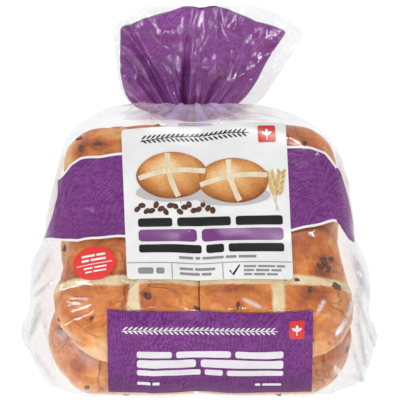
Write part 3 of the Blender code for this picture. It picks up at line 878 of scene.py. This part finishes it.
def make_raisins(buns):
    """Raisins half sunk in the crusts, scattered at random away from the paste of the crosses."""
    nodes = Nodes("raisin_skin")
    folds = nodes.noise(620.0, 3.0, 0.6, 0.8)
    skin = nodes.mix_colour(nodes.between(folds, 0.35, 0.7), (0.060, 0.020, 0.010), (0.22, 0.084, 0.036))
    skin = nodes.finish(nodes.add("BsdfPrincipled", Base_Color=skin, Roughness=0.38, Specular_IOR_Level=0.25,
                                  Normal=nodes.bump(folds, 0.5, 0.5 * MM)).outputs[0])
    unit, faces = cube_sphere(7)
    length = np.array([3.7, 2.5, 2.0]) * MM
    shrivel = 1.2 - 0.6 * value_noise(unit * length, 2.3 * MM, 4) - 0.2 * creases(unit * length, 1.3 * MM, 6)
    raisin = bpy.data.objects.new("raisin", mesh_from("raisin", unit * length * shrivel[:, None], faces, skin))
    base = bpy.data.objects.new("raisins", bpy.data.meshes.new("raisins"))
    bpy.context.scene.collection.objects.link(base)
    bm = bmesh.new()
    for bun in buns:
        bm.from_mesh(bun.data)
    bm.to_mesh(base.data)
    bm.free()
    tree = bpy.data.node_groups.new("scatter_raisins", "GeometryNodeTree")
    face = tree.interface
    face.new_socket("Crusts", in_out="INPUT", socket_type="NodeSocketGeometry")
    for name, kind, value in (("Spacing", "NodeSocketFloat", 21 * MM), ("Density", "NodeSocketFloat", 3000.0),
                              ("Seed", "NodeSocketInt", 3), ("Raisin", "NodeSocketObject", raisin),
                              ("Skin", "NodeSocketMaterial", skin)):
        face.new_socket(name, in_out="INPUT", socket_type=kind)
    face.new_socket("Raisins", in_out="OUTPUT", socket_type="NodeSocketGeometry")

    def node(kind, **inputs):
        made = tree.nodes.new(kind)
        for name, value in inputs.items():
            socket = made.inputs[name.replace("_", " ")]
            if isinstance(value, bpy.types.NodeSocket):
                tree.links.new(value, socket)
            else:
                socket.default_value = value
        return made

    given = node("NodeGroupInput").outputs
    paste = node("GeometryNodeInputNamedAttribute", Name="cross").outputs["Attribute"]
    bare = node("FunctionNodeCompare", A=paste, B=0.02)
    bare.operation = "LESS_THAN"
    spots = node("GeometryNodeDistributePointsOnFaces")
    spots.distribute_method = "POISSON"
    for name, value in (("Mesh", given["Crusts"]), ("Distance Min", given["Spacing"]), ("Density Max", given["Density"]),
                        ("Seed", given["Seed"]), ("Selection", bare.outputs["Result"])):
        tree.links.new(value, spots.inputs[name])
    shape = node("GeometryNodeObjectInfo", Object=given["Raisin"]).outputs["Geometry"]
    spin = node("FunctionNodeRandomValue")
    spin.data_type = "FLOAT_VECTOR"
    spin.inputs[0].default_value, spin.inputs[1].default_value = (-0.5, -0.5, 0.0), (0.5, 0.5, 6.28)
    turned = node("FunctionNodeRotateRotation", Rotation=spots.outputs["Rotation"], Rotate_By=spin.outputs[0])
    turned.rotation_space = "LOCAL"
    size = node("FunctionNodeRandomValue")
    size.data_type = "FLOAT"
    size.inputs[2].default_value, size.inputs[3].default_value = 0.65, 1.2
    copies = node("GeometryNodeInstanceOnPoints", Points=spots.outputs["Points"], Instance=shape,
                  Rotation=turned.outputs["Rotation"], Scale=size.outputs[1])
    sunk = node("GeometryNodeTranslateInstances", Instances=copies.outputs["Instances"], Translation=(0, 0, -1.35 * MM))
    solid = node("GeometryNodeRealizeInstances", Geometry=sunk.outputs["Instances"])
    coated = node("GeometryNodeSetMaterial", Geometry=solid.outputs["Geometry"], Material=given["Skin"])
    result = node("NodeGroupOutput")
    tree.links.new(coated.outputs["Geometry"], result.inputs["Raisins"])
    scatter = base.modifiers.new("scatter", "NODES")
    scatter.node_group = tree
    for item in face.items_tree:
        if item.item_type == "SOCKET" and item.in_out == "INPUT" and item.name != "Crusts":
            scatter[item.identifier] = {"Spacing": 21 * MM, "Density": 3000.0, "Seed": 3, "Raisin": raisin, "Skin": skin}[item.name]
    evaluated = base.evaluated_get(bpy.context.evaluated_depsgraph_get())
    mesh = bpy.data.meshes.new_from_object(evaluated)
    crusts = bmesh.new()
    crusts.from_mesh(base.data)
    tree = BVHTree.FromBMesh(crusts)
    crusts.free()
    bm = bmesh.new()
    bm.from_mesh(mesh)
    for number, (x, y, size) in enumerate(BURST_RAISINS):
        hit, normal, *_ = tree.ray_cast(Vector((x * MM, y * MM, 0.2)), Vector((0, 0, -1)))
        place = Matrix.Translation(hit - normal * 1.2 * MM * size) @ normal.to_track_quat("Z", "Y").to_matrix().to_4x4()
        before = len(bm.verts)
        bm.from_mesh(raisin.data)
        bm.verts.ensure_lookup_table()
        turn = Matrix.Rotation(1.9 * number, 4, "Z") @ Matrix.Scale(size, 4)
        bmesh.ops.transform(bm, matrix=place @ turn, verts=bm.verts[before:])
    bm.to_mesh(mesh)
    bm.free()
    bpy.data.objects.remove(base)
    bpy.data.objects.remove(raisin)
    mesh.shade_smooth()
    return new_piece("raisins", mesh)


def dress_tie():
    """The twist tie keeps its shape from the frame and gets a coated-paper look."""
    nodes = Nodes("tie_plastic")
    ribs = nodes.noise(300.0, 3.0, 0.5)
    shader = nodes.add("BsdfPrincipled", Base_Color=(0.86, 0.84, 0.78), Roughness=0.42, Normal=nodes.bump(ribs, 0.25, 0.2 * MM))
    paper = nodes.finish(shader.outputs[0])
    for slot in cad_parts["neck_tie"].material_slots:
        slot.material = paper


# ---------------------------------------------------------------- the print laid on the film

class Design:
    """A flat design that is laid on the film: where its middle is, and its right and up directions."""

    def __init__(self, film, origin, right, up, lean=0.0, rise=0.0):
        mesh = film.data
        points = np.empty(len(mesh.vertices) * 3)
        mesh.vertices.foreach_get("co", points)
        self.tree = BVHTree.FromPolygons(points.reshape(-1, 3).tolist(), [tuple(f.vertices) for f in mesh.polygons])
        self.origin = Vector(origin)
        self.right, self.up = Vector(right).normalized(), Vector(up).normalized()
        self.out = self.right.cross(self.up)
        self.lean, self.rise = lean, rise

    def lay(self, flat, level):
        """Points on the film, straight below flat points, lifted by a hair for each level of ink."""
        laid = []
        for u, v in flat:
            u, v = u - self.lean * v, v + self.rise * u * (v / LABEL_HEIGHT + 0.5)
            start = self.origin + self.right * u + self.up * v + self.out * (30 * MM)
            hit, normal, *_ = self.tree.ray_cast(start, -self.out)
            if hit is None:
                raise ValueError(f"the design misses the film at {u:.4f}, {v:.4f}")
            if normal.dot(self.out) < 0:
                normal = -normal
            laid.append(hit + normal * (INK_LIFT * (level + 1)))
        return laid


INK_LIFT = 0.10 * MM
INK_GRID = 2.2 * MM


def box_outline(width, height, corner, middle=(0.0, 0.0), steps=5):
    """A box with round corners, counter-clockwise."""
    points = []
    for k, (sx, sy) in enumerate(((1, 1), (-1, 1), (-1, -1), (1, -1))):
        for i in range(steps + 1):
            a = math.pi / 2 * (k + i / steps)
            points.append((middle[0] + sx * (width / 2 - corner) + corner * math.cos(a),
                           middle[1] + sy * (height / 2 - corner) + corner * math.sin(a)))
    return points


def oval_outline(rx, ry, middle=(0.0, 0.0), turn=0.0, steps=40, wobble=0.0, seed=0):
    """An oval, turned, with an uneven edge if wobble is above 0."""
    rng = np.random.default_rng(seed)
    phase = rng.random(3) * 6.28
    points = []
    for i in range(steps):
        a = 2 * math.pi * i / steps
        r = 1 + wobble * (math.sin(2 * a + phase[0]) + 0.6 * math.sin(3 * a + phase[1]) + 0.4 * math.sin(5 * a + phase[2]))
        u, v = rx * r * math.cos(a), ry * r * math.sin(a)
        points.append((middle[0] + u * math.cos(turn) - v * math.sin(turn),
                       middle[1] + u * math.sin(turn) + v * math.cos(turn)))
    return points


def stroke_outline(path, width):
    """A band of the given width, one number or one for each point, along a path."""
    path = np.asarray(path, dtype=float)
    width = np.broadcast_to(width, len(path))
    along = np.gradient(path, axis=0)
    along /= np.linalg.norm(along, axis=1, keepdims=True)
    across = np.stack([-along[:, 1], along[:, 0]], axis=1) * (width / 2)[:, None]
    return [tuple(p) for p in np.vstack([path - across, (path + across)[::-1]])]


def arc_path(start, end, bulge, steps=14):
    """Points from start to end on a bow that stands out to the left by bulge."""
    start, end = np.asarray(start), np.asarray(end)
    u = np.linspace(0, 1, steps)[:, None]
    side = np.array([-(end - start)[1], (end - start)[0]])
    side = side / np.linalg.norm(side)
    return start + (end - start) * u + side * bulge * 4 * u * (1 - u)


def fine_edge(outline):
    """The outline with more points wherever two are further apart than the ink's grid."""
    points = []
    for (ax, ay), (bx, by) in zip(outline, outline[1:] + outline[:1]):
        steps = max(1, math.ceil(math.hypot(bx - ax, by - ay) / INK_GRID))
        points += [(ax + (bx - ax) * i / steps, ay + (by - ay) * i / steps) for i in range(steps)]
    return points


def filled(outline):
    """Triangles that fill an outline, small enough to follow the film."""
    edge = fine_edge(outline)
    xs, ys = zip(*edge)
    inner = []
    for i in range(int((max(xs) - min(xs)) / INK_GRID) + 1):
        for j in range(int((max(ys) - min(ys)) / INK_GRID) + 1):
            spot = (min(xs) + (i + 0.5) * INK_GRID, min(ys) + (j + 0.5 * (i % 2) + 0.25) * INK_GRID)
            if inside(spot, edge):
                inner.append(spot)
    points = [Vector(p) for p in edge + inner]
    flat, _, faces, *_ = geometry.delaunay_2d_cdt(points, [], [list(range(len(edge)))], 1, 1e-6)
    return [tuple(p) for p in flat], faces


def inside(spot, outline):
    x, y = spot
    odd = False
    for (ax, ay), (bx, by) in zip(outline, outline[1:] + outline[:1]):
        if (ay > y) != (by > y) and x < ax + (y - ay) * (bx - ax) / (by - ay):
            odd = not odd
    return odd


def print_shapes(name, design, outlines, level, material, shade=None):
    """One piece of ink: every outline filled and laid on the film. shade gives each point a tone."""
    points, faces, tones = [], [], []
    for number, outline in enumerate(outlines):
        flat, triangles = filled(outline)
        base = len(points)
        points += design.lay(flat, level)
        faces += [tuple(base + i for i in face) for face in triangles]
        if shade is not None:
            tones += [shade(u, v, number) for u, v in flat]
    mesh = mesh_from(name, points, faces, material)
    if shade is not None:
        add_field(mesh, "tone", tones)
    return new_piece(name, mesh)


def ink(name, colour):
    """A plain printed colour under the film's gloss."""
    nodes = Nodes(name)
    normal = crinkle(nodes)
    uneven = nodes.noise(60.0, 3.0, 0.6)
    darker = tuple(0.93 * part for part in colour)
    tint = nodes.mix_colour(nodes.between(uneven, 0.35, 0.65), darker, colour)
    return nodes.finish(nodes.add("BsdfPrincipled", Base_Color=tint, Roughness=0.24, Normal=normal).outputs[0])


def toned_ink(name, steps):
    """Print that runs through the given colours as the field tone goes from 0 to 1, with a fine stipple."""
    nodes = Nodes(name)
    stipple = nodes.math("MULTIPLY", nodes.math("SUBTRACT", nodes.noise(700.0, 3.0, 0.7), 0.5), 0.5)
    ramp = nodes.add("ValToRGB", Fac=nodes.math("ADD", nodes.field("tone"), stipple))
    elements = ramp.color_ramp.elements
    while len(elements) < len(steps):
        elements.new(0.5)
    for i, colour in enumerate(steps):
        elements[i].position = i / (len(steps) - 1)
        elements[i].color = (*colour, 1.0)
    shader = nodes.add("BsdfPrincipled", Base_Color=ramp.outputs[0], Roughness=0.24, Normal=crinkle(nodes))
    return nodes.finish(shader.outputs[0])


def purple_print(name):
    nodes = Nodes(name)
    # the panel's purple: lift 0.94 makes it a little darker, and shade 0.9 adds strong painted shade low down
    return nodes.finish(purple_ink(nodes, crinkle(nodes), 0.94, 0.15, 0.9))


def row_of_bars(left, right, middle_y, height, shares, gap):
    """Blocks side by side from left to right, where a line of words would be."""
    room = right - left - gap * (len(shares) - 1)
    outlines, x = [], left
    for share in shares:
        width = room * share / sum(shares)
        outlines.append(box_outline(width, height, 0.28 * height, (x + width / 2, middle_y)))
        x += width + gap
    return outlines


LABEL_WIDTH, LABEL_HEIGHT = 88 * MM, 89.6 * MM
LABEL_MIDDLE = (3.6 * MM, 13.0 * MM, 85 * MM)


def make_label(film):
    """The white label on top, with a made-up picture of buns, bars for words and thin rules."""
    label = Design(film, LABEL_MIDDLE, (1, 0, 0), (0, 1, 0), lean=0.04, rise=0.067)
    black = ink("label_black_ink", (0.012, 0.011, 0.012))
    purple = ink("label_purple_ink", (0.20, 0.045, 0.23))
    grey = ink("label_grey_ink", (0.28, 0.28, 0.29))
    print_shapes("label_ground", label, [box_outline(LABEL_WIDTH, LABEL_HEIGHT, 2.2 * MM)], 0,
                 ink("label_white_ink", LABEL_WHITE))
    bars = row_of_bars(-37 * MM, 40 * MM, -11.3 * MM, 5.2 * MM, (3.2, 5, 4.4), 2.6 * MM)
    bars += row_of_bars(-37 * MM, 40 * MM, -27.2 * MM, 4.8 * MM, (7, 2, 6.2), 2.4 * MM)
    print_shapes("label_black_bars", label, bars, 1, black)
    print_shapes("label_purple_bars", label, row_of_bars(-37 * MM, 40 * MM, -19.3 * MM, 7.4 * MM, (5, 7), 2.6 * MM),
                 1, purple)
    small = row_of_bars(-16 * MM, 25 * MM, -32.3 * MM, 1.5 * MM, (4, 1.4, 6, 3, 5), 1.1 * MM)
    rules = [stroke_outline([(-LABEL_WIDTH / 2 + 0.4 * MM, -35.4 * MM), (LABEL_WIDTH / 2 - 0.4 * MM, -35.4 * MM)], 0.45 * MM)]
    rules += [stroke_outline([(x, -35.7 * MM), (x, -44.4 * MM)], 0.45 * MM) for x in (-20 * MM, 7 * MM)]
    small += row_of_bars(-38 * MM, -24 * MM, -40 * MM, 3.6 * MM, (3, 1.6), 1.4 * MM)
    small += row_of_bars(-16 * MM, 3 * MM, -38.6 * MM, 1.5 * MM, (2, 3), 1 * MM)
    small += row_of_bars(-16 * MM, 1 * MM, -41.4 * MM, 1.5 * MM, (4, 2), 1 * MM)
    for k, end in enumerate((40, 38, 36)):
        small += row_of_bars(18 * MM, end * MM, (-37.8 - 2.2 * k) * MM, 1.2 * MM, (3, 4, 2 + k), 0.9 * MM)
    print_shapes("label_small_print", label, small + rules, 1, grey)
    tick = stroke_outline([(10.5 * MM, -39.8 * MM), (12.3 * MM, -42.3 * MM), (16 * MM, -36.9 * MM)],
                          [0.9 * MM, 1.3 * MM, 0.7 * MM])
    print_shapes("label_tick", label, [tick], 1, black)
    make_picture(label)
    return label


def make_picture(label):
    """Whole buns, ears of wheat and raisins, in the browns of baking."""
    crust = toned_ink("picture_crust_ink", ((0.26, 0.075, 0.02), (0.50, 0.18, 0.045), (0.74, 0.36, 0.12), (0.90, 0.66, 0.38)))
    paste = toned_ink("picture_paste_ink", ((0.62, 0.45, 0.25), (0.86, 0.77, 0.58)))
    dark = toned_ink("picture_raisin_ink", ((0.025, 0.012, 0.010), (0.13, 0.05, 0.03)))
    straw = toned_ink("picture_wheat_ink", ((0.55, 0.33, 0.10), (0.80, 0.58, 0.26)))
    buns = ((-18 * MM, 15.5 * MM, 19 * MM, 13.5 * MM, 0.06), (14.5 * MM, 11 * MM, 19 * MM, 12.5 * MM, -0.08))
    outlines = [oval_outline(rx, ry, (x, y), turn, 56, 0.012, 7) for x, y, rx, ry, turn in buns]

    def crust_tone(u, v, number):
        x, y, rx, ry, _ = buns[number]
        a, b = (u - x) / rx, (v - y) / ry
        glow = math.exp(-((a + 0.25) ** 2 + (b - 0.35) ** 2) / 0.25)
        return 0.62 - 0.50 * (a * a + b * b) ** 2 + 0.15 * b + 0.32 * glow + 0.07 * math.sin(9 * a + 4 * b)

    shade = [oval_outline(1.03 * rx, 0.42 * ry, (x, y - 0.72 * ry)) for x, y, rx, ry, _ in buns]
    print_shapes("picture_shade", label, shade, 1, ink("picture_shade_ink", (0.55, 0.53, 0.52)))
    print_shapes("picture_buns", label, outlines, 2, crust, shade=crust_tone)
    strips = []
    for x, y, rx, ry, turn in buns:
        for start, end, bulge in (((-0.93, -0.10), (0.95, 0.16), 0.16), ((0.16, -0.93), (-0.10, 0.95), 0.13)):
            path = arc_path((x + start[0] * rx, y + start[1] * ry), (x + end[0] * rx, y + end[1] * ry), bulge * ry)
            strips.append(stroke_outline(path, 2.9 * MM))
    print_shapes("picture_crosses", label, strips, 3, paste, shade=lambda u, v, n: 0.75 + 0.25 * math.sin(u * 2200))
    rng = np.random.default_rng(12)
    raisins = []
    for k in range(17):
        x, y = (-37 + 2.5 * k) * MM, (-3.4 + 2.1 * math.sin(k * 1.9)) * MM
        raisins.append(oval_outline(2.0 * MM, 1.45 * MM, (x, y), rng.random() * 3, 14, 0.05, 30 + k))
    print_shapes("picture_raisins", label, raisins, 1, dark, shade=lambda u, v, n: 0.3 + 0.7 * (0.5 + 0.5 * math.sin(v * 4000 + n)))
    grains = []
    for x, y, lean in ((37 * MM, -6.5 * MM, 0.16), (38.5 * MM, -6.5 * MM, -0.22)):
        stem = arc_path((x, y), (x + 22 * MM * math.sin(lean), y + 22 * MM * math.cos(lean)), 1.5 * MM)
        grains.append(stroke_outline(stem, 0.5 * MM))
        for k in range(9):
            u = 0.42 + 0.065 * k
            at = np.asarray((x + 22 * MM * u * math.sin(lean), y + 22 * MM * u * math.cos(lean)))
            for side in (-1, 1):
                grains.append(oval_outline(1.9 * MM, 0.72 * MM, (at[0] + side * 1.25 * MM, at[1] + 0.7 * MM),
                                           math.pi / 2 - lean - side * 0.5, 14))
    print_shapes("picture_wheat", label, grains, 1, straw, shade=lambda u, v, n: 0.5 + 0.5 * math.sin(n * 1.7))
    garland = [stroke_outline(arc_path((-34 * MM, 36 * MM), (24 * MM, 38 * MM), 1.6 * MM, 30), 0.55 * MM)]
    for k in range(22):
        x = (-32 + 2.55 * k) * MM
        for side in (-1, 1):
            garland.append(oval_outline(1.7 * MM, 0.5 * MM, (x, (37.2 + 0.05 * k + side * 1.35) * MM), side * 0.75, 12))
    print_shapes("label_garland", label, garland, 1, ink("label_garland_ink", (0.02, 0.018, 0.02)))
    red = ink("seal_red_ink", (0.68, 0.032, 0.027))
    print_shapes("label_tag", label, [box_outline(9.5 * MM, 10.5 * MM, 1.2 * MM, (33.5 * MM, 37 * MM))], 1, red)
    print_shapes("label_tag_sprig", label, sprig(33.5 * MM, 36.8 * MM, 1.0), 2, ink("tag_white_ink", LABEL_WHITE))


def sprig(x, y, size):
    """Three leaves on a stem."""
    leaves = [stroke_outline([(x, y - 3.6 * size * MM), (x, y - 0.2 * size * MM)], 0.6 * size * MM)]
    for lean, reach in ((0.0, 2.2), (0.85, 1.6), (-0.85, 1.6)):
        at = (x + reach * size * MM * math.sin(lean), y + (reach * math.cos(lean) - 0.8) * size * MM)
        leaves.append(oval_outline(1.75 * size * MM, 0.8 * size * MM, at, math.pi / 2 - lean, 16))
    return leaves


def make_side_spot(film):
    """The red oval to the left of the label, with white bars."""
    turn = math.radians(8)
    spot = Design(film, (-56 * MM, -22 * MM, 85 * MM), (math.cos(turn), math.sin(turn), 0), (-math.sin(turn), math.cos(turn), 0))
    print_shapes("red_spot", spot, [oval_outline(11.4 * MM, 9.6 * MM, steps=60)], 0, ink("spot_red_ink", (0.82, 0.046, 0.038)))
    bars = row_of_bars(-6.2 * MM, 6.4 * MM, 4.2 * MM, 1.25 * MM, (3, 2), 0.8 * MM)
    bars += row_of_bars(-6.6 * MM, 6.4 * MM, 1.7 * MM, 1.25 * MM, (2, 4), 0.8 * MM)
    bars += row_of_bars(-9.4 * MM, 9.4 * MM, -0.6 * MM, 0.45 * MM, (1,), 0)
    bars += row_of_bars(-6.0 * MM, 6.2 * MM, -2.6 * MM, 0.9 * MM, (3, 4), 0.8 * MM)
    bars += row_of_bars(-5.4 * MM, 5.8 * MM, -4.7 * MM, 0.9 * MM, (2, 4), 0.8 * MM)
    print_shapes("red_spot_bars", spot, bars, 1, ink("spot_white_ink", LABEL_WHITE))


PANEL_WIDTH, PANEL_HEIGHT = 109 * MM, 60 * MM
PANEL_SLOPE = math.radians(26)


def make_front_panel(film):
    """The purple panel on the closed end, with bars in place of words."""
    up = Vector((0, math.sin(PANEL_SLOPE), math.cos(PANEL_SLOPE)))
    panel = Design(film, Vector((5.4 * MM, -52.5 * MM, 82 * MM)) - up * (PANEL_HEIGHT / 2), (1, 0.0, -0.012), up)
    print_shapes("panel_ground", panel, [box_outline(PANEL_WIDTH, PANEL_HEIGHT, 0.4 * MM)], 0, purple_print("panel_purple_ink"))
    white = ink("panel_white_ink", (0.76, 0.73, 0.77))
    bars = row_of_bars(-39 * MM, 39 * MM, 1.8 * MM, 4.8 * MM, (3.2, 5, 4.4), 2.4 * MM)
    bars += row_of_bars(-39 * MM, 39 * MM, -5.2 * MM, 6.0 * MM, (5, 7), 2.6 * MM)
    bars += row_of_bars(-39 * MM, 39 * MM, -12 * MM, 4.2 * MM, (7, 2, 6.2), 2.2 * MM)
    bars += row_of_bars(-39 * MM, -27 * MM, -20.5 * MM, 2.6 * MM, (3, 1.6), 1.0 * MM)
    bars += row_of_bars(24 * MM, 38 * MM, -21.5 * MM, 2.0 * MM, (1.4, 5), 1.0 * MM)
    garland = [stroke_outline(arc_path((-47 * MM, 18 * MM), (36 * MM, 18.4 * MM), 1.0 * MM, 36), 0.5 * MM)]
    for k in range(30):
        for side in (-1, 1):
            garland.append(oval_outline(1.7 * MM, 0.5 * MM, ((-45 + 2.7 * k) * MM, (18.7 + side * 1.3) * MM), side * 0.75, 12))
    print_shapes("panel_bars", panel, bars + garland, 1, white)
    print_shapes("panel_tag", panel, [box_outline(8 * MM, 12 * MM, 1.0 * MM, (46 * MM, 19 * MM))], 1,
                 ink("panel_red_ink", (0.68, 0.032, 0.027)))
    print_shapes("panel_tag_sprig", panel, sprig(46 * MM, 19 * MM, 1.0), 2, white)


# ---------------------------------------------------------------- the stage

def make_stage():
    """A plain pale floor, soft lights and the camera."""
    scene = bpy.context.scene
    scene.view_settings.view_transform = "Standard"
    scene.cycles.transparent_max_bounces = 24
    scene.cycles.caustics_reflective = False
    scene.cycles.caustics_refractive = False
    bm = bmesh.new()
    bmesh.ops.create_grid(bm, x_segments=1, y_segments=1, size=4.0)
    mesh = bpy.data.meshes.new("floor")
    bm.to_mesh(mesh)
    bm.free()
    nodes = Nodes("floor_white")
    lit = nodes.add("BsdfDiffuse", Color=(0.93, 0.93, 0.93)).outputs[0]
    glow = nodes.add("Emission", Color=(1.0, 1.0, 1.0), Strength=1.12).outputs[0]
    mesh.materials.append(nodes.finish(nodes.mix_shader(0.8, lit, glow)))
    floor = bpy.data.objects.new("floor", mesh)
    floor.location.z = -0.0004
    scene.collection.objects.link(floor)
    world = bpy.data.worlds.new("soft_room")
    scene.world = world
    world.use_nodes = True
    world.node_tree.nodes["Background"].inputs["Color"].default_value = (1.0, 1.0, 1.0, 1.0)
    world.node_tree.nodes["Background"].inputs["Strength"].default_value = 0.39
    middle = Vector((0.0, 0.02, 0.04))
    for name, azimuth, elevation, distance, width, length, power in (
            ("strip_left", -72, 50, 0.9, 0.022, 0.55, 1.8),
            ("strip_flare", -52, 40, 0.9, 0.012, 0.30, 0.9),
            ("strip_right", 68, 36, 0.9, 0.016, 0.36, 0.7),
            ("strip_low_left", -34, 24, 0.9, 0.014, 0.50, 1.1),
            ("strip_low_right", 38, 26, 0.9, 0.014, 0.50, 1.5),
            ("strip_back", 165, 44, 1.0, 0.50, 0.035, 2.8),
            ("strip_front", 8, 36, 1.2, 0.45, 0.018, 0.8)):
        light = bpy.data.lights.new(name, "AREA")
        light.shape, light.size, light.size_y, light.energy = "RECTANGLE", width, length, power
        lamp = bpy.data.objects.new(name, light)
        a, e = math.radians(azimuth), math.radians(elevation)
        away = Vector((math.sin(a) * math.cos(e), -math.cos(a) * math.cos(e), math.sin(e)))
        lamp.location = middle + away * distance
        lamp.rotation_mode = "QUATERNION"
        lamp.rotation_quaternion = away.to_track_quat("Z", "Y")
        scene.collection.objects.link(lamp)
    make_camera()


CAMERA_ELEVATION = math.radians(68)
CAMERA_DISTANCE = 3.0
VIEW_WIDTH = 0.216          # width of the picture at the object's middle
VIEW_MIDDLE = Vector((0.0, 0.0293, 0.045))


def make_camera():
    camera = bpy.data.cameras.new("camera")
    camera.sensor_width = 36.0
    camera.lens = camera.sensor_width * CAMERA_DISTANCE / VIEW_WIDTH
    camera.clip_start, camera.clip_end = 0.1, 30.0
    seat = bpy.data.objects.new("camera", camera)
    away = Vector((0.0, -math.cos(CAMERA_ELEVATION), math.sin(CAMERA_ELEVATION)))
    seat.location = VIEW_MIDDLE + away * CAMERA_DISTANCE
    seat.rotation_mode = "QUATERNION"
    seat.rotation_quaternion = away.to_track_quat("Z", "Y")
    bpy.context.scene.collection.objects.link(seat)
    bpy.context.scene.camera = seat


make_stage()
film_grid = body_film_grid()
body_film = make_body_film(film_grid)
make_label(body_film)
make_side_spot(body_film)
make_front_panel(body_film)
make_flare()
make_raisins(make_buns(film_grid))
dress_tie()
